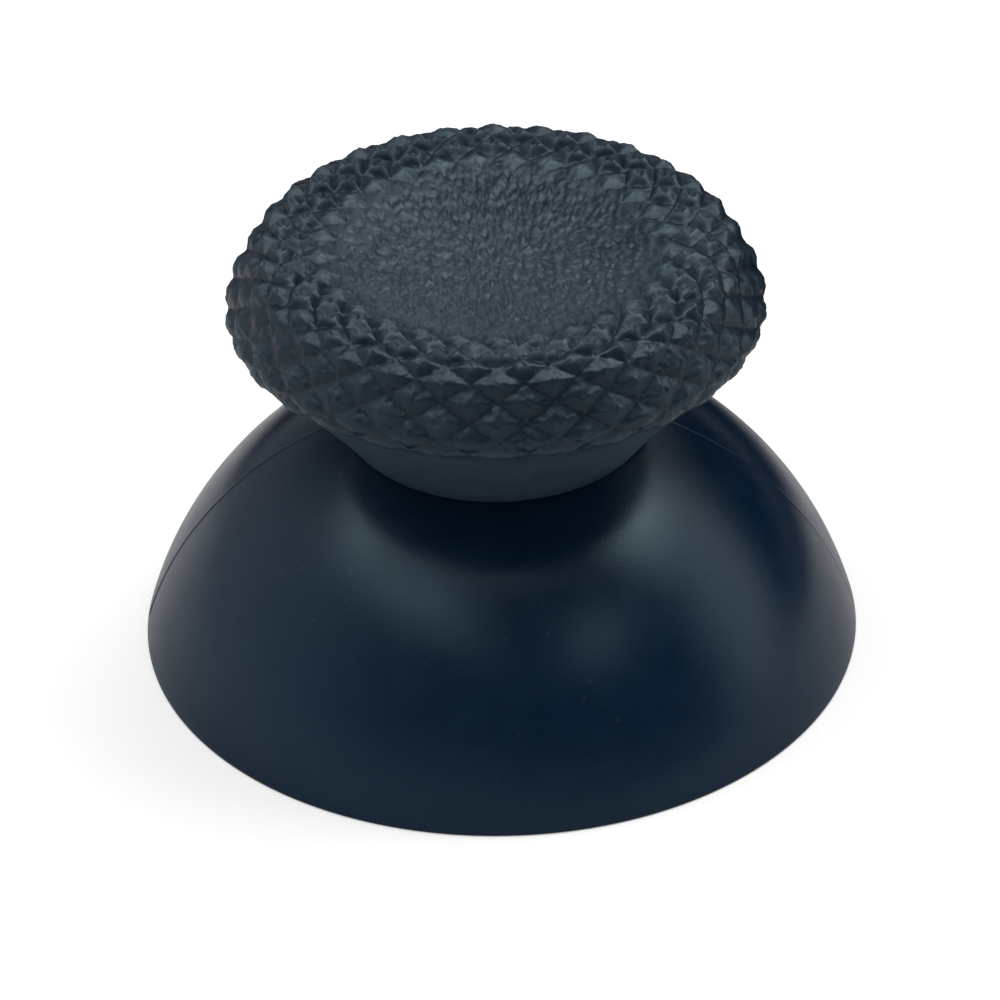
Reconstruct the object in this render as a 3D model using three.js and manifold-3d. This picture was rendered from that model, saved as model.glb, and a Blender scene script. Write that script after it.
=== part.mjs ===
// Thumb grip of a game controller: a soft knurled cap moulded over the stem of a hollow hard dome.
// Millimetres, +Z up, origin in the middle of the plane that the dome's rim stands on.
import * as THREE from 'three';
import { mergeVertices } from 'three/addons/utils/BufferGeometryUtils.js';
import Module from 'manifold-3d';

// Dome: a spherical shell, open below, centred on the stick's pivot below the rim
const domeRimRadius = 12.8;
const pivotDepth = 3.538;
const domeWall = 1.15;
const rimChamfer = 0.12;
const domeSegments = 64;

// Post under the dome, with the blind double-D socket that goes on the stick's shaft
const postRadius = 3.25;
const postRecess = 1.2;
const postFillet = 0.9;
const postChamfer = 0.25;
const socketDiameter = 4.05;
const socketFlats = 3.05;
const socketDepth = 5.6;
const socketLeadIn = 0.35;
const socketSegments = 40;

// Cap: outer sizes are taken over the studs
const capRadius = 9.46;
const capTop = 16.02;
const neckRadius = 5.33;
const crestRadius = 7.45;
const crestRound = 1.13;
const skirtHeight = 13.45;
const skirtRound = 0.87;
const bowlHollow = 0.12;
const dishRadius = 5.34;
const dishDepth = 1.1;
const dishRise = 0.52;

// Knurl: diamond studs on a staggered lattice, with V-shaped grooves between them
const knurlColumns = 29;
const knurlRows = 9;
const knurlSkirt = 0.35;
const studHeight = 0.26;
const studTop = 0.58;
const studDimple = 0.1;
const fadedStud = 0.5;

// Core: the dome's flared stem and head, which the cap is moulded over
const coreSkin = 1.2;
const coreHeadRadius = 6.4;
const coreHeadChamfer = 0.35;
const coreClearance = 0.3;

const dishRings = 4;
const bowlRings = 3;
const sectionDivisions = 5;
const spacingSamples = 400;

const domeRadius = Math.hypot(domeRimRadius, pivotDepth);
const domeCentre = -pivotDepth;
const seatHeight = domeCentre + Math.sqrt(domeRadius ** 2 - neckRadius ** 2);
const dishCentreHeight = capTop - dishDepth;

const polar = (centre, radius, angle) =>
  new THREE.Vector2(centre.x + radius * Math.cos(angle), centre.y + radius * Math.sin(angle));

// Direction in which the line from a point touches a circle, seen from the circle's centre
function touchAngle(centre, radius, point, side) {
  const away = point.clone().sub(centre);
  return away.angle() + side * Math.acos(radius / away.length());
}

// The cap's outer section at the bottom of the grooves, as arcs and their tangents
const crestCentre = new THREE.Vector2(crestRadius, capTop - studHeight - crestRound);
const skirtCentre = new THREE.Vector2(capRadius - studHeight - skirtRound, skirtHeight);
const dishEdge = new THREE.Vector2(dishRadius, dishCentreHeight + dishRise);
const neckFoot = new THREE.Vector2(neckRadius, seatHeight);

const rampAngle = touchAngle(crestCentre, crestRound, dishEdge, -1);
const between = skirtCentre.clone().sub(crestCentre);
const shoulderAngle = between.angle() + Math.acos((crestRound - skirtRound) / between.length());
const bowlAngle = touchAngle(skirtCentre, skirtRound, neckFoot, 1);
const bowlTop = polar(skirtCentre, skirtRound, bowlAngle);

// From the dish's edge over the crest, round the skirt and down the bowl to the neck's foot
function capPath() {
  const path = new THREE.Path();
  path.moveTo(dishEdge.x, dishEdge.y);
  const rampEnd = polar(crestCentre, crestRound, rampAngle);
  path.lineTo(rampEnd.x, rampEnd.y);
  path.absarc(crestCentre.x, crestCentre.y, crestRound, rampAngle, shoulderAngle, true);
  const skirtStart = polar(skirtCentre, skirtRound, shoulderAngle);
  path.lineTo(skirtStart.x, skirtStart.y);
  path.absarc(skirtCentre.x, skirtCentre.y, skirtRound, shoulderAngle, bowlAngle, true);
  const middle = bowlTop.clone().add(neckFoot).multiplyScalar(0.5);
  const pull = polar(middle, -2 * bowlHollow, bowlAngle);
  path.quadraticCurveTo(pull.x, pull.y, neckFoot.x, neckFoot.y);
  return path;
}

// The core's section from the seat up to the axis, grown by a gap all round
function coreSection(gap) {
  const slope = (bowlTop.y - neckFoot.y) / (bowlTop.x - neckFoot.x);
  const across = Math.hypot(1, slope) / slope;
  const root = neckRadius - (coreSkin - gap) * across;
  const headSide = coreHeadRadius + gap;
  const headTop = dishCentreHeight - coreSkin - coreClearance + gap;
  return [
    new THREE.Vector2(root, seatHeight),
    new THREE.Vector2(headSide, seatHeight + (headSide - root) * slope),
    new THREE.Vector2(headSide, headTop - coreHeadChamfer),
    new THREE.Vector2(headSide - coreHeadChamfer, headTop),
    new THREE.Vector2(0, headTop),
  ];
}

// A closed skin made of rings of equal length, for what a plain revolve can't give
class Skin {
  constructor(columns) {
    this.columns = columns;
    this.points = [];
    this.faces = [];
  }

  point(section, turn) {
    const angle = (turn / this.columns) * 2 * Math.PI;
    this.points.push(section.x * Math.sin(angle), -section.x * Math.cos(angle), section.y);
    return this.points.length / 3 - 1;
  }

  ring(section) {
    return Array.from({ length: this.columns }, (_, turn) => this.point(section, turn));
  }

  triangle(a, b, c) {
    this.faces.push(a, b, c);
  }

  // Joins two rings, the first lying before the second along the outward-facing section
  strip(first, second) {
    for (let turn = 0; turn < this.columns; turn += 1) {
      const next = (turn + 1) % this.columns;
      this.triangle(first[turn], second[turn], second[next]);
      this.triangle(first[turn], second[next], first[next]);
    }
  }

  strips(rings) {
    rings.slice(1).forEach((ring, index) => this.strip(rings[index], ring));
  }

  fan(centre, ring, inward) {
    for (let turn = 0; turn < this.columns; turn += 1) {
      const next = (turn + 1) % this.columns;
      if (inward) this.triangle(centre, ring[next], ring[turn]);
      else this.triangle(centre, ring[turn], ring[next]);
    }
  }

  geometry() {
    const geometry = new THREE.BufferGeometry();
    geometry.setAttribute('position', new THREE.Float32BufferAttribute(this.points, 3));
    geometry.setIndex(this.faces);
    geometry.computeVertexNormals();
    return geometry;
  }
}

// Point of a path at a length from its start, lifted off the surface along its outward normal
function lifted(path, length, height) {
  const share = THREE.MathUtils.clamp(length / path.getLength(), 0, 1);
  const tangent = path.getTangentAt(share);
  const foot = path.getPointAt(share);
  return new THREE.Vector2(foot.x - tangent.y * height, foot.y + tangent.x * height);
}

// Lengths along a path that lie evenly spaced over the tops of the studs standing on it
function evenLengths(path, lastLength, steps) {
  const samples = [];
  let travelled = 0;
  for (let i = 0; i <= spacingSamples; i += 1) {
    const length = (lastLength * i) / spacingSamples;
    const point = lifted(path, length, studHeight);
    if (i > 0) travelled += point.distanceTo(samples[i - 1].point);
    samples.push({ length, point, travelled });
  }
  return Array.from({ length: steps + 1 }, (_, step) => {
    const wanted = (travelled * step) / steps;
    return samples.find((sample) => sample.travelled >= wanted - 1e-9).length;
  });
}

// The knurled band: stud centres and groove crossings alternate along every row
function knurl(skin, path, lastLength) {
  const lengths = evenLengths(path, lastLength, knurlRows + 1);
  const rows = lengths.map((length) => skin.ring(lifted(path, length, 0)));
  const isStud = (row, turn) => row > 0 && row <= knurlRows && (row + turn) % 2 === 1;

  const tops = new Map();
  for (let row = 1; row <= knurlRows; row += 1) {
    const edgeRow = row === 1 || row === knurlRows;
    const height = edgeRow ? studHeight * fadedStud : studHeight;
    for (let turn = 0; turn < skin.columns; turn += 1) {
      if (!isStud(row, turn)) continue;
      const middle = lengths[row];
      const above = middle + (lengths[row - 1] - middle) * studTop;
      const below = middle + (lengths[row + 1] - middle) * studTop;
      tops.set(rows[row][turn], {
        up: skin.point(lifted(path, above, height), turn),
        down: skin.point(lifted(path, below, height), turn),
        left: skin.point(lifted(path, middle, height), turn - studTop),
        right: skin.point(lifted(path, middle, height), turn + studTop),
        middle: skin.point(lifted(path, middle, height - studDimple), turn),
      });
    }
  }

  // One quarter of a stud: its flank between two crossings, and its share of the dimpled top
  const quarter = (stud, fromPoint, fromCorner, toPoint, toCorner) => {
    const top = tops.get(stud);
    skin.triangle(fromPoint, toPoint, top[toCorner]);
    skin.triangle(fromPoint, top[toCorner], top[fromCorner]);
    skin.triangle(top[fromCorner], top[toCorner], top.middle);
  };

  for (let row = 0; row <= knurlRows; row += 1) {
    for (let turn = 0; turn < skin.columns; turn += 1) {
      const next = (turn + 1) % skin.columns;
      const [a, b] = [rows[row][turn], rows[row][next]];
      const [c, d] = [rows[row + 1][turn], rows[row + 1][next]];
      if ((row + turn) % 2 === 1) {
        if (isStud(row, turn)) quarter(a, c, 'down', b, 'right');
        else skin.triangle(a, c, b);
        if (isStud(row + 1, next)) quarter(d, b, 'up', c, 'left');
        else skin.triangle(b, c, d);
      } else {
        if (isStud(row, next)) quarter(b, a, 'left', d, 'down');
        else skin.triangle(a, d, b);
        if (isStud(row + 1, turn)) quarter(c, d, 'right', a, 'up');
        else skin.triangle(a, c, d);
      }
    }
  }
  return { first: rows[0], last: rows[knurlRows + 1] };
}

function gripCap() {
  const skin = new Skin(2 * knurlColumns);
  const dishSphere = (dishRadius ** 2 + dishRise ** 2) / (2 * dishRise);
  const dish = [];
  for (let ring = 1; ring < dishRings; ring += 1) {
    const r = (dishRadius * ring) / dishRings;
    const height = dishCentreHeight + dishSphere - Math.sqrt(dishSphere ** 2 - r ** 2);
    dish.push(skin.ring(new THREE.Vector2(r, height)));
  }
  skin.fan(skin.point(new THREE.Vector2(0, dishCentreHeight), 0), dish[0], false);

  const path = capPath();
  const knurlEnd = path.getLength() - path.curves.at(-1).getLength() + knurlSkirt;
  const band = knurl(skin, path, knurlEnd);
  const bowl = [];
  for (let ring = 1; ring <= bowlRings; ring += 1) {
    const length = THREE.MathUtils.lerp(knurlEnd, path.getLength(), ring / bowlRings);
    bowl.push(skin.ring(lifted(path, length, 0)));
  }
  const cavity = coreSection(coreClearance);
  const cavityRings = cavity.slice(0, -1).map((point) => skin.ring(point));
  skin.strips([...dish, band.first]);
  skin.strips([band.last, ...bowl, ...cavityRings]);
  skin.fan(skin.point(cavity.at(-1), 0), cavityRings.at(-1), true);
  return skin.geometry();
}

// Half revolve of the dome shell with its post below and the core above, closed on the axis
function domeSection() {
  const centre = new THREE.Vector2(0, domeCentre);
  const innerRadius = domeRadius - domeWall;
  const path = new THREE.Path();
  const core = coreSection(0).reverse();
  path.moveTo(core[0].x, core[0].y);
  core.slice(1).forEach((point) => path.lineTo(point.x, point.y));
  path.lineTo(neckFoot.x, neckFoot.y);
  const rimAngle = Math.asin((rimChamfer - domeCentre) / domeRadius);
  path.absarc(0, domeCentre, domeRadius, Math.acos(neckRadius / domeRadius), rimAngle, true);
  path.lineTo(domeRimRadius - rimChamfer, 0);
  path.lineTo(Math.sqrt(innerRadius ** 2 - domeCentre ** 2), 0);
  const filletFoot = Math.acos((postRadius + postFillet) / innerRadius);
  path.absarc(0, domeCentre, innerRadius, Math.asin(-domeCentre / innerRadius), filletFoot, false);
  const roof = domeCentre + Math.sqrt(innerRadius ** 2 - postRadius ** 2);
  path.quadraticCurveTo(postRadius, roof, postRadius, roof - postFillet);
  path.lineTo(postRadius, postRecess + postChamfer);
  path.lineTo(postRadius - postChamfer, postRecess);
  path.lineTo(0, postRecess);
  return path;
}

// The socket's round hole with two flats, drawn about the origin and grown by a margin
function socketOutline(margin) {
  const radius = socketDiameter / 2 + margin;
  const flat = Math.asin((socketFlats / 2 + margin) / radius);
  const shape = new THREE.Shape();
  shape.absarc(0, 0, radius, -flat, flat, false);
  shape.absarc(0, 0, radius, Math.PI - flat, Math.PI + flat, false);
  return shape.getPoints(socketSegments / 4).slice(0, -1);
}

// A prism with one outline below and another above, closed by flat ends
function prism(lower, upper, bottom, top) {
  const count = lower.length;
  const points = [];
  lower.forEach((p) => points.push(p.x, p.y, bottom));
  upper.forEach((p) => points.push(p.x, p.y, top));
  points.push(0, 0, bottom, 0, 0, top);
  const faces = [];
  for (let i = 0; i < count; i += 1) {
    const next = (i + 1) % count;
    faces.push(i, next, count + next, i, count + next, count + i);
    faces.push(2 * count, next, i, 2 * count + 1, count + i, count + next);
  }
  const geometry = new THREE.BufferGeometry();
  geometry.setAttribute('position', new THREE.Float32BufferAttribute(points, 3));
  geometry.setIndex(faces);
  return geometry;
}

const wasm = await Module();
wasm.setup();

function solid(geometry) {
  const bare = geometry.clone();
  bare.deleteAttribute('normal');
  bare.deleteAttribute('uv');
  const merged = mergeVertices(bare, 1e-5);
  const vertProperties = new Float32Array(merged.attributes.position.array);
  const triVerts = new Uint32Array(merged.index.array);
  return new wasm.Manifold(new wasm.Mesh({ numProp: 3, vertProperties, triVerts }));
}

function geometryOf(manifold) {
  const mesh = manifold.getMesh();
  const geometry = new THREE.BufferGeometry();
  geometry.setAttribute('position', new THREE.BufferAttribute(new Float32Array(mesh.vertProperties), 3));
  geometry.setIndex(new THREE.BufferAttribute(new Uint32Array(mesh.triVerts), 1));
  geometry.computeVertexNormals();
  return geometry;
}

function domeBase() {
  const shell = new THREE.LatheGeometry(domeSection().getPoints(sectionDivisions).reverse(), domeSegments);
  shell.rotateX(Math.PI / 2);
  const below = postRecess - socketLeadIn;
  const mouth = prism(socketOutline(2 * socketLeadIn), socketOutline(0), below, postRecess + socketLeadIn);
  const bore = prism(socketOutline(0), socketOutline(0), postRecess, postRecess + socketDepth);
  const hollow = solid(mouth).add(solid(bore));
  return geometryOf(solid(shell).subtract(hollow));
}

const rubber = new THREE.MeshStandardMaterial({ color: 0x2a3138, roughness: 0.72, metalness: 0 });
const hardPlastic = new THREE.MeshStandardMaterial({ color: 0x10171f, roughness: 0.38, metalness: 0 });

function piece(name, geometry, material) {
  const mesh = new THREE.Mesh(geometry, material);
  mesh.name = name;
  return mesh;
}

const thumbGrip = new THREE.Group();
thumbGrip.add(piece('dome_base', domeBase(), hardPlastic));
thumbGrip.add(piece('grip_cap', gripCap(), rubber));

export default thumbGrip;
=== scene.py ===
import bpy, math
import numpy as np
from mathutils import Matrix, Vector, noise


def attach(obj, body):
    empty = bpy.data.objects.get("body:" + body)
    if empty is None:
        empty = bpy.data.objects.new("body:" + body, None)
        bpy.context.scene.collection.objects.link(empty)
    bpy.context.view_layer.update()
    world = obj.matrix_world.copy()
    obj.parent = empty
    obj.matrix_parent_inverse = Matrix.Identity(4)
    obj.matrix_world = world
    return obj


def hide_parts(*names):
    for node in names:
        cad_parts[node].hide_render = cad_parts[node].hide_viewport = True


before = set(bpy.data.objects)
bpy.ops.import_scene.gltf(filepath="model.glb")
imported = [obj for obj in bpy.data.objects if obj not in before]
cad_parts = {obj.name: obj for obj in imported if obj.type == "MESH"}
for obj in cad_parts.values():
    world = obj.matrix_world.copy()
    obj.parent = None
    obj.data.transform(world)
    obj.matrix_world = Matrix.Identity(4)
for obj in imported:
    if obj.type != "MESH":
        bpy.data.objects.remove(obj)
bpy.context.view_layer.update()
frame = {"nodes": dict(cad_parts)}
mm = 0.001
tiny = 1e-9
fullTurn = 2 * math.pi
scene = bpy.context.scene
scene.view_settings.view_transform = "Standard"
print("frame loaded:", ", ".join(frame["nodes"]))

# Meshes made of rings round the Z axis. Angles run from the -Y side towards +X

def ringPoints(radii, heights, angles):
    radii, heights = np.broadcast_arrays(radii, heights)
    radii, heights = np.broadcast_to(radii, angles.shape), np.broadcast_to(heights, angles.shape)
    return np.stack([radii * np.sin(angles), -radii * np.cos(angles), heights], axis=-1)

def evenAngles(count):
    return np.arange(count) * 2 * math.pi / count

class Skin:
    def __init__(self):
        self.points, self.faces, self.count = [], [], 0

    def add(self, points):
        points = np.asarray(points, float).reshape(-1, 3)
        self.points.append(points)
        self.count += len(points)
        return np.arange(self.count - len(points), self.count)

    def addRings(self, places, angles):
        return [self.add(ringPoints(r, z, angles)) for r, z in places]

    def strip(self, first, second):  # first lies before second along the outward-facing section
        nextFirst, nextSecond = np.roll(first, -1), np.roll(second, -1)
        self.faces += np.stack([first, second, nextSecond, nextFirst], axis=-1).tolist()

    def strips(self, rings):
        for first, second in zip(rings, rings[1:]):
            self.strip(first, second)

    def zipUp(self, first, firstAngles, second, secondAngles):  # joins rings with different counts
        i, j, a, b = 0, 0, len(first), len(second)
        angleOf = lambda angles, k: angles[k % len(angles)] + fullTurn * (k // len(angles))
        while i < a or j < b:
            if j >= b or (i < a and angleOf(firstAngles, i + 1) <= angleOf(secondAngles, j + 1)):
                self.faces.append([int(first[i % a]), int(second[j % b]), int(first[(i + 1) % a])])
                i += 1
            else:
                self.faces.append([int(first[i % a]), int(second[j % b]), int(second[(j + 1) % b])])
                j += 1

    def fan(self, height, ring, inward=False):  # closes a ring round a point on the axis
        centre = self.add([(0, 0, height)])[0]
        for here, there in zip(ring, np.roll(ring, -1)):
            pair = (there, here) if inward else (here, there)
            self.faces.append([int(centre), int(pair[0]), int(pair[1])])

    def build(self, name, smoothAngle):
        mesh = bpy.data.meshes.new(name)
        mesh.from_pydata((np.concatenate(self.points) * mm).tolist(), [], self.faces)
        mesh.validate()
        mesh.shade_smooth()
        mesh.set_sharp_from_angle(angle=math.radians(smoothAngle))
        piece = bpy.data.objects.new(name, mesh)
        scene.collection.objects.link(piece)
        return piece

# Section tools, in millimetres as (radius, height)

def polar(centre, radius, angle):
    return np.array([centre[0] + radius * math.cos(angle), centre[1] + radius * math.sin(angle)])

def touchAngle(centre, radius, point, side):  # where the line from a point touches a circle
    away = np.subtract(point, centre)
    return math.atan2(away[1], away[0]) + side * math.acos(radius / math.hypot(*away))

def arc(centre, radius, start, end, steps):
    return np.array([polar(centre, radius, start + (end - start) * i / steps) for i in range(steps + 1)])

def bend(start, control, end, steps):  # quadratic curve
    start, control, end = (np.asarray(point, float) for point in (start, control, end))
    t = np.linspace(0, 1, steps + 1)[:, None]
    return (1 - t) ** 2 * start + 2 * t * (1 - t) * control + t ** 2 * end

def travelled(points):  # the length from the first point to each of them
    return np.r_[0, np.cumsum(np.hypot(*np.diff(points, axis=0).T))]

def joined(*runs):
    sameSpot = 1e-6
    points = np.concatenate([np.atleast_2d(run) for run in runs])
    keep = np.r_[True, np.hypot(*np.diff(points, axis=0).T) > sameSpot]
    return points[keep]

def smoothStep(t):
    t = np.clip(t, 0, 1)
    return t * t * (3 - 2 * t)

class Section:  # a fine polyline that can be read at a length, and lifted along its outward normal
    def __init__(self, points):
        self.points = points
        self.lengths = travelled(points)
        self.total = self.lengths[-1]

    def at(self, length):
        return np.stack([np.interp(length, self.lengths, self.points[:, k]) for k in (0, 1)], axis=-1)

    def lifted(self, length, height):
        reach = 0.02
        ahead = self.at(np.minimum(length + reach, self.total))
        behind = self.at(np.maximum(length - reach, 0))
        tangent = (ahead - behind) / np.linalg.norm(ahead - behind, axis=-1, keepdims=True)
        normal = np.stack([-tangent[..., 1], tangent[..., 0]], axis=-1)
        return self.at(length) + normal * np.asarray(height)[..., None]

# Cap: soft rubber head with the knurled rim and the grained dish
cap = {
    "radius": 9.46, "top": 16.02, "neckRadius": 5.33,
    "crestRadius": 7.45, "crestRound": 1.13, "skirtHeight": 13.45, "skirtRound": 0.87, "roundSteps": 120,
    "bowlHollow": 0.12, "bowlSteps": 160, "bowlColumns": 232, "bowlRings": 22,
    "dishRadius": 5.34, "dishDepth": 1.1, "dishRise": 0.52,
    "dishRingStep": 0.08, "dishColumns": 560, "innermostRing": 0.06,
    "coreSkin": 1.2, "coreHeadRadius": 6.4, "coreHeadChamfer": 0.35, "coreClearance": 0.3,
    "smoothAngle": 38,
    # The knurl: rows of studs, and what changes row by row, from the dish outwards
    "columns": 29, "rows": 9, "knurlSkirt": 0.35, "studHeight": 0.26, "flankCurve": 0.4,
    "craterRims": (0.2, 0.42, 0.54, 0.2, 0.14, 0.2, 0.28, 0.3, 0.3),
    "craterDepths": (0.04, 0.18, 0.26, 0.05, 0.02, 0.02, 0.02, 0.01, 0.0),
    "roundings": (0.4, 0.5, 0.95, 0.5, 0.4, 0.4, 0.4, 0.4, 0.4),
    "studShares": (0.46, 0.85, 0.85, 0.72, 0.6, 0.62, 0.72, 0.52, 0.36),
    "cellSteps": (0.2, 0.4, 0.52, 0.66, 0.8, 0.91, 1.0), "rimStep": 0.4,
    # Along the rows: levels of the valleys between studs, and tones of the valleys, which keep the dark
    # painted shade except where they are lifted near the dish and the bowl, and painted glints on the tips
    "valleyRows": (0, 1.5, 4.5, 6, 7, 8.5, 10),
    "valleyLevels": (0, -0.2, -0.12, 0.05, 0.08, 0.05, 0),
    "valleyTones": (0.95, 0, 0, 0, 0, 0.45, 1.45),
    "tipRows": (0.3, 1, 1.6, 3, 4, 5), "tipPaintedGlints": (0, 2.8, 0.3, 0.9, 0.3, 0),
    # Noise, with its layers as (frequency, weight)
    "unevenness": 0.045, "unevenStep": 0.19, "unevenLayers": ((1.0, 1.0), (2.3, 0.5)),
    "grainSize": 0.17, "grainStretch": 2.6, "grainHeight": 0.1, "grainShift": 3.7,
    "grainLayers": ((1.0, 1.0), (2.1, 0.5), (4.3, 0.25)),
    "grainMargin": 0.15, "grainRows": 1.1, "grainOnStuds": 0.6,
    # Tones of the dish and of the bowl under the knurl, all painted light: the dish is lifted to a lighter
    # tone and darkens towards one side with painted shade, and the bowl is lifted with painted light
    "dishPaintedLightTone": 1.16, "dishPaintedShade": 0.5, "paintedShadeWay": (0.6, 0.8), "paintedShadeShift": 0.15, "bowlPaintedLightTone": 1.55,
}

# Dome: hard plastic shell with the stem that the cap grips and the post that takes the shaft
dome = {
    "radius": 13.28, "rimRadius": 12.8, "wall": 1.15, "columns": 240, "smoothAngle": 35,
    "outsideSteps": 70, "insideSteps": 40,
    "rimRound": 0.12, "rimSteps": 5, "innerRim": 0.6, "innerTuck": 0.15, "innerRimSteps": 3,
    "postRadius": 3.25, "postRecess": 1.2, "postFillet": 0.9, "filletSteps": 8,
    "postRound": 0.25, "postSteps": 4,
    "socketDiameter": 4.05, "socketFlats": 3.05, "socketDepth": 5.6, "socketLeadIn": 0.35,
    # The parting line over the dome, lower on the +X side
    "partingHeight": 0.028, "partingWidth": 0.045, "partingSteps": (0.2, 0.45, 0.8, 1.2),
    "partingFade": 0.3, "farSeamShare": 0.3,
}

domeCentre = -math.sqrt(dome["radius"] ** 2 - dome["rimRadius"] ** 2)
seatHeight = domeCentre + math.sqrt(dome["radius"] ** 2 - cap["neckRadius"] ** 2)
dishCentreHeight = cap["top"] - cap["dishDepth"]
neckFoot = np.array([cap["neckRadius"], seatHeight])

def capSection():
    crest = (cap["crestRadius"], cap["top"] - cap["studHeight"] - cap["crestRound"])
    skirt = (cap["radius"] - cap["studHeight"] - cap["skirtRound"], cap["skirtHeight"])
    dishEdge = (cap["dishRadius"], dishCentreHeight + cap["dishRise"])
    rampAngle = touchAngle(crest, cap["crestRound"], dishEdge, -1)
    between = np.subtract(skirt, crest)
    spread = math.acos((cap["crestRound"] - cap["skirtRound"]) / math.hypot(*between))
    shoulderAngle = math.atan2(between[1], between[0]) + spread
    bowlAngle = touchAngle(skirt, cap["skirtRound"], neckFoot, 1)
    over = arc(crest, cap["crestRound"], rampAngle, shoulderAngle, cap["roundSteps"])
    under = arc(skirt, cap["skirtRound"], shoulderAngle, bowlAngle, cap["roundSteps"])
    bowlTop = under[-1]
    control = polar((bowlTop + neckFoot) / 2, -2 * cap["bowlHollow"], bowlAngle)
    bowl = bend(bowlTop, control, neckFoot, cap["bowlSteps"])
    section = Section(joined(dishEdge, over, under, bowl))
    bowlStart = section.total - np.hypot(*np.diff(bowl, axis=0).T).sum()
    return section, bowlStart, bowlTop

capLine, bowlStart, bowlTop = capSection()
knurlEnd = bowlStart + cap["knurlSkirt"]

def coreSection(gap):  # the stem and head inside the cap, grown by a gap
    slope = (bowlTop[1] - neckFoot[1]) / (bowlTop[0] - neckFoot[0])
    root = cap["neckRadius"] - (cap["coreSkin"] - gap) * math.hypot(1, slope) / slope
    side = cap["coreHeadRadius"] + gap
    top = dishCentreHeight - cap["coreSkin"] - cap["coreClearance"] + gap
    chamfer = cap["coreHeadChamfer"]
    return np.array([(root, seatHeight), (side, seatHeight + (side - root) * slope),
                     (side, top - chamfer), (side - chamfer, top)]), top

def rowLengths():  # rows lie evenly over the tops of the studs
    samples = 2001
    fine = np.linspace(0, knurlEnd, samples)
    tops = travelled(capLine.lifted(fine, np.full(fine.shape, cap["studHeight"])))
    return np.interp(np.linspace(0, tops[-1], cap["rows"] + 2), tops, fine)

def grain(x, y):  # moulded grain: small lengthwise pebbles, broken up by finer ones
    size = cap["grainSize"]
    value = 0
    for octave, weight in cap["grainLayers"]:
        spot = (x / size * octave, y / (size * cap["grainStretch"]) * octave, octave * cap["grainShift"])
        value += weight * noise.noise(Vector(spot))
    return value

def grainOver(points):
    return np.array([grain(x, y) for x, y, _ in points]) * cap["grainHeight"]

def unevenOver(points):
    seeds = [Vector(seed) for seed in points / cap["unevenStep"]]
    return np.array([sum(weight * noise.noise(seed * octave) for octave, weight in cap["unevenLayers"])
                     for seed in seeds])

def studGrid(u, v, row):  # a pyramid with a small crater at its tip; its edges round off towards the tip
    named = ("craterRims", "craterDepths", "roundings", "studShares")
    crater, depth, rounding, share = (cap[name][row - 1] for name in named)
    step = np.maximum(np.maximum(np.abs(u), np.abs(v)), tiny)
    level = np.interp(step, (0, cap["rimStep"], 1), (0, crater, 1))
    up = 1 - np.clip((level - crater) / (1 - crater), 0, 1)
    sunk = np.clip(1 - (level / crater) ** 2, 0, None) * depth / cap["studHeight"]
    toRound = step / np.maximum(np.hypot(u, v), tiny)
    blend = rounding * up
    stretch = (1 - blend + blend * toRound) * level / step
    curve = cap["flankCurve"]
    return u * stretch, v * stretch, ((1 - curve) * up + curve * smoothStep(up) - sunk) * share

def knurlNet(lastRow, halfTurns):  # staggered square cells, stood on their corners, cut off at both borders
    side = np.array(cap["cellSteps"])
    steps = np.r_[-side[::-1], 0, side]
    count = len(steps)
    keyScale = 20000  # grid points that round to the same spot are one point
    index, rowsAt, turnsAt, reliefAndPaintedLight, faces = {}, [], [], [], []

    def vertex(rowAt, turnAt, height):
        key = (round(rowAt * keyScale), round(turnAt % halfTurns * keyScale) % (halfTurns * keyScale))
        if key not in index:
            index[key] = len(rowsAt)
            rowsAt.append(rowAt)
            turnsAt.append(turnAt)
            reliefAndPaintedLight.append(height)
        return index[key]

    u, v = np.meshgrid(steps, steps, indexing="ij")
    for row in range(lastRow + 1):
        a, b, heights = studGrid(u, v, row) if 0 < row < lastRow else (u, v, np.zeros(u.shape))
        for turn in range((row + 1) % 2, halfTurns, 2):
            rowGrid, turnGrid = row + (a + b) / 2, turn + (a - b) / 2
            inside = (rowGrid > -tiny) & (rowGrid < lastRow + tiny)
            ids = np.full(a.shape, -1)
            for i in range(count):
                for j in range(count):
                    if inside[i, j]:
                        ids[i, j] = vertex(rowGrid[i, j], turnGrid[i, j], heights[i, j])
            for i in range(count - 1):
                for j in range(count - 1):
                    corners = [ids[i, j], ids[i, j + 1], ids[i + 1, j + 1], ids[i + 1, j]]
                    corners = [int(c) for c in corners if c >= 0]
                    if len(corners) > 2:
                        faces.append(corners)
    return np.array(rowsAt), np.array(turnsAt), np.array(reliefAndPaintedLight), faces

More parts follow.
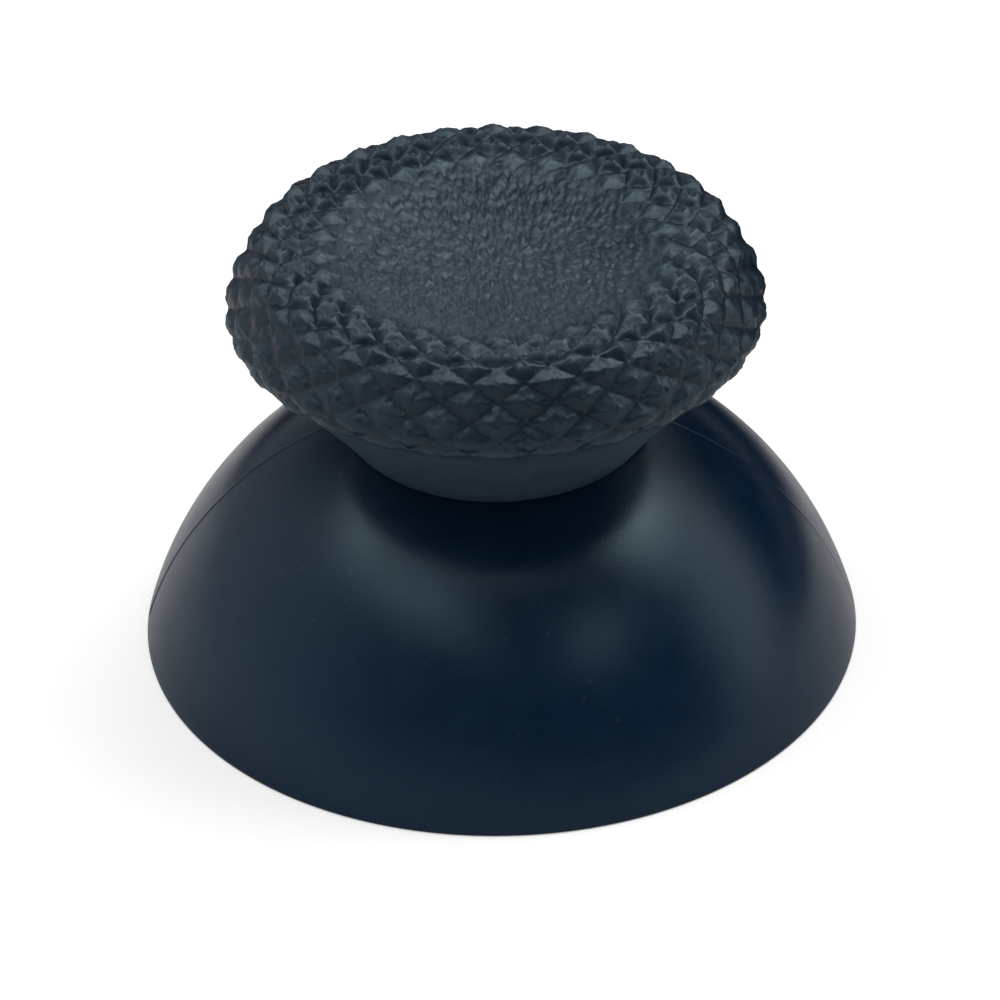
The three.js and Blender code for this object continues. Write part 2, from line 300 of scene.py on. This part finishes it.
def knurlBand(skin):
    lastRow = cap["rows"] + 1
    halfTurns = 2 * cap["columns"]
    rowsAt, turnsAt, reliefAndPaintedLight, faces = knurlNet(lastRow, halfTurns)
    along = np.interp(rowsAt, np.arange(lastRow + 1), rowLengths())
    angles = turnsAt * 2 * math.pi / halfTurns

    def placed(lift):
        place = capLine.lifted(along, lift)
        return ringPoints(place[:, 0], place[:, 1], angles)

    valley = np.interp(rowsAt, cap["valleyRows"], cap["valleyLevels"])
    lift = (reliefAndPaintedLight * (1 - valley) + valley) * cap["studHeight"]
    inFromBorders = np.clip(np.minimum(rowsAt, lastRow - rowsAt), 0, 1)
    lift += unevenOver(placed(lift)) * cap["unevenness"] * inFromBorders
    points = placed(lift)
    points[:, 2] += grainOver(points) * np.clip(cap["grainRows"] - rowsAt, 0, cap["grainOnStuds"])
    ids = skin.add(points)
    skin.faces += [[int(ids[c]) for c in face] for face in faces]

    # Painted glints on the tips, and painted shade in the valleys that are not lifted
    tips = reliefAndPaintedLight * np.interp(rowsAt, cap["tipRows"], cap["tipPaintedGlints"])
    tones = reliefAndPaintedLight + np.interp(rowsAt, cap["valleyRows"], cap["valleyTones"]) * (1 - reliefAndPaintedLight) + tips

    def edge(row):
        onEdge = np.where(np.abs(rowsAt - row) < tiny)[0]
        turned = angles[onEdge] % fullTurn
        order = np.argsort(turned)
        return ids[onEdge[order]], turned[order]
    return edge(0), edge(lastRow), ids, tones

def dishHeight(r):
    sphere = (cap["dishRadius"] ** 2 + cap["dishRise"] ** 2) / (2 * cap["dishRise"])
    return dishCentreHeight + sphere - np.sqrt(sphere ** 2 - r ** 2)

def grainedDish(skin, edge, edgeAngles):  # rings from the knurl to the middle, with fewer points further in
    outer, outerAngles = edge, edgeAngles
    radius = cap["dishRadius"] - cap["dishRingStep"]
    columns = cap["dishColumns"]
    while radius > cap["innermostRing"]:
        if radius < cap["dishRadius"] * columns / cap["dishColumns"] / 2:
            columns //= 2
        angles = evenAngles(columns)
        fade = min(1.0, (cap["dishRadius"] - radius) / cap["grainMargin"])
        bumps = grainOver(ringPoints(radius, 0.0, angles)) * fade
        ring = skin.add(ringPoints(radius, dishHeight(radius) + bumps, angles))
        if len(ring) == len(outer) and outer is not edge:
            skin.strip(ring, outer)
        else:
            skin.zipUp(ring, angles, outer, outerAngles)
        outer, outerAngles = ring, angles
        radius -= cap["dishRingStep"]
    skin.fan(dishCentreHeight, outer)

def gripCap():
    skin = Skin()
    (topEdge, topAngles), (lowEdge, lowAngles), knurlIds, knurlPaintedLightTones = knurlBand(skin)
    grainedDish(skin, topEdge, topAngles)

    angles = evenAngles(cap["bowlColumns"])
    downBowl = np.linspace(0, 1, cap["bowlRings"] + 1)[1:]
    bowl = [capLine.at(knurlEnd + (capLine.total - knurlEnd) * share) for share in downBowl]
    core, coreTop = coreSection(cap["coreClearance"])
    rings = skin.addRings(bowl, angles) + skin.addRings(core, angles)
    skin.zipUp(lowEdge, lowAngles, rings[0], angles)
    skin.strips(rings)
    skin.fan(coreTop, rings[-1], inward=True)

    piece = skin.build("cap_rubber", cap["smoothAngle"])
    points = np.concatenate(skin.points)
    # Painted shade: the dish darkens towards one side; the dish and the bowl are lifted in tone as painted
    # light
    wayX, wayY = cap["paintedShadeWay"]
    across = (wayX * points[:, 0] + wayY * points[:, 1]) / cap["dishRadius"]
    tones = cap["dishPaintedLightTone"] - cap["dishPaintedShade"] * np.clip(across + cap["paintedShadeShift"], 0, 1)
    tones[points[:, 2] < bowlTop[1]] = cap["bowlPaintedLightTone"]
    tones[knurlIds] = knurlPaintedLightTones
    # The attribute carries these tones, painted light and shade included, to the rubber's colour
    attribute = piece.data.attributes.new("reliefAndPaintedLight", "FLOAT", "POINT")
    attribute.data.foreach_set("value", tones.astype(np.float32))
    return piece

def domeShell():
    radius, edge, rimRadius = dome["radius"], dome["rimRound"], dome["rimRadius"]
    inner = radius - dome["wall"]
    middle = (0, domeCentre)
    socketRadius, flat = dome["socketDiameter"] / 2, dome["socketFlats"] / 2
    core, coreTop = coreSection(0)

    # Ring angles: even ones, close ones beside the parting line, and the corners of the socket's flats
    seamAngles = (math.pi / 2, 1.5 * math.pi)
    extra = np.array(dome["partingSteps"]) * dome["partingWidth"] / radius
    seams = np.concatenate([side + np.r_[-extra[::-1], 0, extra] for side in seamAngles])
    corner = math.acos(flat / socketRadius)
    corners = np.array([corner, math.pi - corner, math.pi + corner, fullTurn - corner])
    digits = 6
    angles = np.unique(np.round(np.concatenate([evenAngles(dome["columns"]), seams, corners]), digits))

    # The section, from the seat over the outside and the rim, then under the dome to the post's end
    rimTop = math.asin((edge - domeCentre) / radius)
    outside = arc(middle, radius, math.acos(cap["neckRadius"] / radius), rimTop, dome["outsideSteps"])
    lastOut = outside[-1]
    rimOuter = bend(lastOut, (rimRadius, 0.0), (rimRadius - edge, 0.0), dome["rimSteps"])
    innerFoot = math.sqrt(inner ** 2 - domeCentre ** 2)
    innerRise = edge * dome["innerRim"]
    rimInner = bend((innerFoot + innerRise, 0.0), (innerFoot, 0.0),
                    (innerFoot - edge * dome["innerTuck"], innerRise), dome["innerRimSteps"])
    startAngle = math.asin((innerRise - domeCentre) / inner)
    postRadius, recess, postRound = dome["postRadius"], dome["postRecess"], dome["postRound"]
    filletFoot = math.acos((postRadius + dome["postFillet"]) / inner)
    inside = arc(middle, inner, startAngle, filletFoot, dome["insideSteps"])
    roof = domeCentre + math.sqrt(inner ** 2 - postRadius ** 2)
    fillet = bend(inside[-1], (postRadius, roof), (postRadius, roof - dome["postFillet"]),
                  dome["filletSteps"])
    postEnd = bend((postRadius, recess + postRound), (postRadius, recess),
                   (postRadius - postRound, recess), dome["postSteps"])
    under = joined(rimOuter[1:], rimInner, inside[1:], fillet[1:], postEnd)

    skin = Skin()
    rings = skin.addRings(core[::-1], angles)
    seamDistance = np.min([np.abs(angles - side) for side in seamAngles], axis=0) * radius
    ridge = dome["partingHeight"] * (1 - smoothStep(seamDistance / dome["partingWidth"]))
    ridge = np.where(angles < math.pi, ridge * dome["farSeamShare"], ridge)
    fade = dome["partingFade"]
    for r, z in outside:
        fromEnds = min(1.0, (z - lastOut[1]) / fade) * min(1.0, (seatHeight - z) / fade)
        lift = ridge * max(fromEnds, 0)
        radii, heights = r + lift * r / radius, z + lift * (z - domeCentre) / radius
        rings.append(skin.add(ringPoints(radii, heights, angles)))
    rings += skin.addRings(under, angles)
    leadIn, socketTop = dome["socketLeadIn"], recess + dome["socketDepth"]
    for margin, z in ((leadIn, recess), (0, recess + leadIn), (0, socketTop)):
        toFlat = (flat + margin) / np.maximum(np.abs(np.cos(angles)), tiny)
        rings.append(skin.add(ringPoints(np.minimum(socketRadius + margin, toFlat), z, angles)))
    skin.strips(rings)
    skin.fan(coreTop, rings[0])
    skin.fan(socketTop, rings[-1], inward=True)
    return skin.build("dome_shell", dome["smoothAngle"])

# Shader tools
nodeSpacing = 180

class Shader:
    def __init__(self, tree):
        self.tree, self.column = tree, 0

    def plug(self, socket, value):  # a link from another node, or a fixed value
        if isinstance(value, bpy.types.NodeSocket):
            self.tree.links.new(value, socket)
        else:
            socket.default_value = value

    def plugAll(self, sockets, values):
        for socket, value in zip(sockets, values):
            self.plug(socket, value)

    def node(self, kind, **values):  # a value is for the input of that name, or for the node's setting
        made = self.tree.nodes.new(kind)
        self.column += 1
        made.location = (self.column * nodeSpacing, 0)
        for name, value in values.items():
            if name in made.inputs:
                self.plug(made.inputs[name], value)
            else:
                setattr(made, name, value)
        return made

    def group(self, group, **values):
        return self.node("ShaderNodeGroup", node_tree=group, **values).outputs

    def math(self, operation, first, second=0.0, clamp=False):
        made = self.node("ShaderNodeMath", operation=operation, use_clamp=clamp)
        self.plugAll(made.inputs, (first, second))
        return made.outputs[0]

    def vectorMath(self, operation, first, second):
        made = self.node("ShaderNodeVectorMath", operation=operation)
        self.plugAll(made.inputs, (first, second))
        return made.outputs["Value"]

    def mixColor(self, factor, first, second):
        made = self.node("ShaderNodeMix", data_type="RGBA")
        share, colorA, colorB = made.inputs[0], made.inputs[6], made.inputs[7]
        self.plugAll((share, colorA, colorB), (factor, first, second))
        return made.outputs[2]

    def remap(self, value, fromRange, toRange=(0.0, 1.0)):
        made = self.node("ShaderNodeMapRange", Value=value)
        for name, number in zip(("From Min", "From Max", "To Min", "To Max"), (*fromRange, *toRange)):
            made.inputs[name].default_value = number
        return made.outputs["Result"]

def newGroup(name, inputs, outputs):  # an input without a number is a vector
    group = bpy.data.node_groups.new(name, "ShaderNodeTree")
    for label, default in inputs:
        kind = "NodeSocketVector" if default is None else "NodeSocketFloat"
        socket = group.interface.new_socket(name=label, in_out="INPUT", socket_type=kind)
        if default is not None:
            socket.default_value = default
    for label in outputs:
        group.interface.new_socket(name=label, in_out="OUTPUT", socket_type="NodeSocketFloat")
    entry, leave = group.nodes.new("NodeGroupInput"), group.nodes.new("NodeGroupOutput")
    return group, Shader(group), entry.outputs, leave.inputs

# Spark-eroded mould skin: fine, even roughness in the surface of moulded plastic and rubber
mouldSkinLook = {
    "fineDetail": 3.0, "fineRoughness": 0.6,
    "blotchRatio": 9.0, "blotchDetail": 2.0, "blotchRoughness": 0.5,
}

def mouldSkinGroup():
    inputs = [("Position", None), ("Size", 0.1), ("Unevenness", 0.5)]
    group, shader, given, out = newGroup("mouldSkin", inputs, ["Height", "Blotch"])
    look = mouldSkinLook
    frequency = shader.math("DIVIDE", 1 / mm, given["Size"])
    fine = shader.node("ShaderNodeTexNoise", Vector=given["Position"], Scale=frequency,
                       Detail=look["fineDetail"], Roughness=look["fineRoughness"])
    coarse = shader.node("ShaderNodeTexNoise", Vector=given["Position"],
                         Scale=shader.math("DIVIDE", frequency, look["blotchRatio"]),
                         Detail=look["blotchDetail"], Roughness=look["blotchRoughness"])
    patchy = shader.math("MULTIPLY", coarse.outputs["Fac"], given["Unevenness"])
    shader.plug(out["Height"], shader.math("ADD", fine.outputs["Fac"], patchy))
    shader.plug(out["Blotch"], coarse.outputs["Fac"])
    return group

# Fine dust that settles on faces that look up
dustLook = {
    "speckScale": 1400.0, "speckEdge": (0.05, 0.16),
    "patchScale": 260.0, "patchDetail": 3.0, "patchEdge": (0.5, 0.75), "upward": (0.1, 0.9),
}

def dustGroup():
    group, shader, given, out = newGroup("settledDust", [("Position", None), ("Amount", 0.3)], ["Dust"])
    specks = shader.node("ShaderNodeTexVoronoi", Vector=given["Position"], Scale=dustLook["speckScale"])
    near = shader.remap(specks.outputs["Distance"], dustLook["speckEdge"], (1.0, 0.0))
    patches = shader.node("ShaderNodeTexNoise", Vector=given["Position"], Scale=dustLook["patchScale"],
                          Detail=dustLook["patchDetail"])
    gathered = shader.remap(patches.outputs["Fac"], dustLook["patchEdge"])
    normal = shader.node("ShaderNodeNewGeometry").outputs["Normal"]
    split = shader.node("ShaderNodeSeparateXYZ", Vector=normal)
    upward = shader.remap(split.outputs["Z"], dustLook["upward"])
    spots = shader.math("MULTIPLY", shader.math("MULTIPLY", near, gathered), upward)
    shader.plug(out["Dust"], shader.math("MULTIPLY", spots, given["Amount"], clamp=True))
    return group

mouldSkin, settledDust = mouldSkinGroup(), dustGroup()
blotchRange = (0.3, 0.7)  # between these the mould skin's blotches go from one look to the other

def mouldedMaterial(name, look, bodyColor):  # what rubber and plastic have in common
    material = bpy.data.materials.new(name)
    material.use_nodes = True
    material.node_tree.nodes.clear()
    shader = Shader(material.node_tree)
    place = shader.node("ShaderNodeTexCoord").outputs["Object"]
    skin = shader.group(mouldSkin, Position=place, Size=look["skinSize"], Unevenness=look["skinUnevenness"])
    dust = shader.group(settledDust, Position=place, Amount=look["dustAmount"])
    bump = shader.node("ShaderNodeBump", Height=skin["Height"], Strength=look["bump"],
                       Distance=look["bumpDepth"] * mm)
    body = bodyColor(shader, skin["Blotch"])
    principled = shader.node("ShaderNodeBsdfPrincipled", Normal=bump.outputs["Normal"])
    sockets = principled.inputs
    shader.plug(sockets["Base Color"], shader.mixColor(dust["Dust"], body, look["dust"]))
    shader.plug(sockets["Roughness"], shader.remap(skin["Blotch"], blotchRange, look["roughness"]))
    sockets["Specular IOR Level"].default_value = look["specular"]
    sockets["Specular Tint"].default_value = look["tint"]
    shader.node("ShaderNodeOutputMaterial", Surface=principled.outputs["BSDF"])
    return material

# Rubber: four colours, from the bottom of a valley to the tip of a stud, each over its own range of tones.
# The dark valley colour is painted shade in the grooves, the lighter edge colour on the tops is partly rub
# wear and partly painted highlight, and the pale colour is painted light on the bowl and painted glints on
# the tips
rubberLook = {
    "valley": (0.0006, 0.0050, 0.0130, 1),
    "face": (0.0036, 0.0135, 0.0262, 1), "faceTones": (-0.1, 0.6),
    "edge": (0.021, 0.036, 0.051, 1), "edgeTones": (0.6, 1.1),
    "pale": (0.042, 0.069, 0.095, 1), "paleTones": (1.2, 2.1),
    "blotchTone": 0.12, "roughness": (0.33, 0.41), "specular": 0.46, "tint": (0.7, 0.9, 1.0, 1),
    "skinSize": 0.11, "skinUnevenness": 0.6, "bump": 0.45, "bumpDepth": 0.02,
    "dust": (0.30, 0.32, 0.33, 1), "dustAmount": 0.12,
}

def rubberColor(shader, blotch):
    # The tone picks the colour along the ramp: low ground gets the valley colour's painted shade, and high
    # ground gets the lighter edge and pale colours, which are partly wear and partly painted highlight
    reliefAndPaintedLight = shader.node("ShaderNodeAttribute", attribute_name="reliefAndPaintedLight").outputs["Fac"]
    spread = rubberLook["blotchTone"]
    tone = shader.math("ADD", reliefAndPaintedLight, shader.remap(blotch, blotchRange, (-spread, spread)))
    color = rubberLook["valley"]
    for name in ("face", "edge", "pale"):
        color = shader.mixColor(shader.remap(tone, rubberLook[name + "Tones"]), color, rubberLook[name])
    return color

plasticLook = {
    "body": (0.0010, 0.0102, 0.0285, 1), "pale": (0.0016, 0.0118, 0.0315, 1), "paleBlotches": (0.35, 0.7),
    "roughness": (0.20, 0.25), "specular": 0.35, "tint": (0.6, 0.87, 1.0, 1),
    "skinSize": 0.12, "skinUnevenness": 0.35, "bump": 0.36, "bumpDepth": 0.01,
    "dust": (0.28, 0.30, 0.31, 1), "dustAmount": 0.10,
}

def plasticColor(shader, blotch):
    share = shader.remap(blotch, plasticLook["paleBlotches"])
    return shader.mixColor(share, plasticLook["body"], plasticLook["pale"])

def dress(piece, material, node):
    piece.data.materials.append(material)
    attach(piece, "root")
    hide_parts(node)
    print(piece.name, "vertices", len(piece.data.vertices), "faces", len(piece.data.polygons))

dress(gripCap(), mouldedMaterial("softRubber", rubberLook, rubberColor), "grip_cap")
dress(domeShell(), mouldedMaterial("hardPlastic", plasticLook, plasticColor), "dome_base")

# Camera, fitted to the photograph, with its lengths in millimetres and its picture in pixels
view = {
    "elevation": 34.45, "roll": 1.06, "distance": 160.0, "aim": (0, 0, 6.0),
    "focal": 4520.0, "frame": 1000.0, "aimPixel": (499.0, 477.9), "sensor": 36, "clip": (0.01, 20),
}

def makeCamera():
    data = bpy.data.cameras.new("camera")
    camera = bpy.data.objects.new("camera", data)
    scene.collection.objects.link(camera)
    tilt = math.radians(view["elevation"])
    back = Vector((0, -math.cos(tilt), math.sin(tilt)))
    turned = back.to_track_quat("Z", "Y").to_matrix() @ Matrix.Rotation(math.radians(-view["roll"]), 3, "Z")
    scale = view["distance"] / view["focal"]
    centre = view["frame"] / 2
    across, down = view["aimPixel"][0] - centre, view["aimPixel"][1] - centre
    place = Vector(view["aim"]) + back * view["distance"]
    place += turned @ Vector((-across, down, 0)) * scale
    camera.matrix_world = Matrix.Translation(place * mm) @ turned.to_4x4()
    data.sensor_width = view["sensor"]
    data.lens = view["focal"] / view["frame"] * data.sensor_width
    data.clip_start, data.clip_end = view["clip"]
    scene.camera = camera

# Studio: a pale floor, and a world with soft windows
studio = {
    "floorColor": (0.78, 0.78, 0.78, 1), "floorSeen": 0.28, "mirrorLoss": 0.27, "floorSize": 6.0,
    # Painted shadows on the floor: spots where the floor is darkened in what the object reflects and in the
    # light it bounces, while the camera sees the floor evenly bright
    "paintedFloorShadows": [  # azimuth and distance in metres, outer and inner radius, share of light left
        (165, 0.15, 0.136, 0.118, 0.0),
        (0, 0.046, 0.034, 0.014, 0.9),
    ],
    "roomLight": 0.11, "windowEdge": 1.5, "windowFade": 0.7,
    "windows": [  # azimuth from the front towards +X, elevation, turn, half width and half height, radiance
        (104, 32, -32, 15, 36, 1.45),
        (-98, 24, 0, 41, 34, 0.6),
        (-62, 59, 10, 24, 8, 1.75),
        (44, 46, 0, 11, 8, 1.1),
        (-20, 3, 0, 60, 12, 0.38),
        (160, 24, 0, 22, 19, 0.72),
        (146, 8, 0, 23, 19, -0.75),
        (-153, 36, 0, 17, 17, -0.35),
        (118, 56, 0, 17, 11, 3.8),
        (-122, 56, 0, 14, 9, 2.8),
        (180, 64, 0, 22, 5, 2.2),
        (180, 88, 0, 14, 14, 4.2),
    ],
}
black, white = (0, 0, 0, 1), (1, 1, 1, 1)

def wayTo(azimuth, elevation):
    a, e = math.radians(azimuth), math.radians(elevation)
    return Vector((math.sin(a) * math.cos(e), -math.cos(a) * math.cos(e), math.sin(e)))

def lightPath(shader):  # its outputs, and a mask of what the camera sees directly or through glass
    rays = shader.node("ShaderNodeLightPath").outputs
    return rays, shader.math("MAXIMUM", rays["Is Camera Ray"], rays["Is Transmission Ray"])

# One soft-edged window in a direction, full at its middle
def windowGroup():
    inputs = [("Direction", None), ("Middle", None), ("Across", None), ("Up", None)]
    inputs += [("Width", 0.5), ("Height", 0.5)]
    group, shader, given, out = newGroup("softWindow", inputs, ["Light"])

    def along(axis):
        return shader.vectorMath("DOT_PRODUCT", given["Direction"], given[axis])

    def squared(axis, size):
        share = shader.math("ABSOLUTE", shader.math("DIVIDE", along(axis), given[size]))
        return shader.math("POWER", share, 2.0)

    both = shader.math("ADD", squared("Across", "Width"), squared("Up", "Height"))
    reach = shader.math("POWER", both, studio["windowEdge"])
    soft = shader.math("EXPONENT", shader.math("MULTIPLY", reach, -studio["windowFade"]))
    facing = shader.math("GREATER_THAN", along("Middle"), 0.0)
    shader.plug(out["Light"], shader.math("MULTIPLY", soft, facing))
    return group

def makeFloor():
    half = studio["floorSize"] / 2
    mesh = bpy.data.meshes.new("floor")
    corners = [(-half, -half, 0), (half, -half, 0), (half, half, 0), (-half, half, 0)]
    mesh.from_pydata(corners, [], [(0, 1, 2, 3)])
    floor = bpy.data.objects.new("floor", mesh)
    scene.collection.objects.link(floor)
    material = bpy.data.materials.new("paleFloor")
    material.use_nodes = True
    material.node_tree.nodes.clear()
    shader = Shader(material.node_tree)
    rays, direct = lightPath(shader)
    position = shader.node("ShaderNodeNewGeometry").outputs["Position"]
    lit = 1.0
    # Painted shadow: the floor's colour is darkened round each spot
    for azimuth, distance, outer, inner, left in studio["paintedFloorShadows"]:
        away = shader.vectorMath("DISTANCE", position, wayTo(azimuth, 0) * distance)
        lit = shader.math("MULTIPLY", shader.remap(away, (inner, outer), (left, 1.0)), lit)
    lost = shader.math("MULTIPLY", rays["Is Glossy Ray"], studio["mirrorLoss"])
    shown = shader.math("SUBTRACT", shader.math("MAXIMUM", lit, direct), lost, clamp=True)
    matt = shader.node("ShaderNodeBsdfDiffuse", Color=shader.mixColor(shown, black, studio["floorColor"]))
    lift = shader.math("MULTIPLY", direct, studio["floorSeen"])
    glow = shader.node("ShaderNodeEmission", Color=white, Strength=lift)
    both = shader.node("ShaderNodeAddShader")
    shader.plugAll(both.inputs, (glow.outputs[0], matt.outputs[0]))
    shader.node("ShaderNodeOutputMaterial", Surface=both.outputs[0])
    floor.data.materials.append(material)

def makeWorld():
    world = bpy.data.worlds.new("studioWorld")
    scene.world = world
    world.use_nodes = True
    shader = Shader(world.node_tree)
    rays, direct = lightPath(shader)
    way = shader.node("ShaderNodeTexCoord").outputs["Generated"]  # the direction looked in
    window = windowGroup()
    total = studio["roomLight"]
    for azimuth, elevation, turn, width, height, radiance in studio["windows"]:
        middle = wayTo(azimuth, elevation)
        level = Vector((0, 0, 1)).cross(middle).normalized()
        turned = Matrix.Rotation(math.radians(turn), 3, middle)
        light = shader.group(window, Direction=way, Middle=middle, Across=turned @ level,
                             Up=turned @ middle.cross(level), Width=math.sin(math.radians(width)),
                             Height=math.sin(math.radians(height)))
        total = shader.math("ADD", total, shader.math("MULTIPLY", light["Light"], radiance))
    hidden = shader.math("SUBTRACT", 1.0, direct)
    lit = shader.math("MULTIPLY", shader.math("MAXIMUM", total, 0.0), hidden)
    background = world.node_tree.nodes["Background"]
    shader.plug(background.inputs["Color"], white)
    shader.plug(background.inputs["Strength"], shader.math("ADD", lit, direct))

makeCamera()
makeFloor()
makeWorld()
print("camera and studio ready")
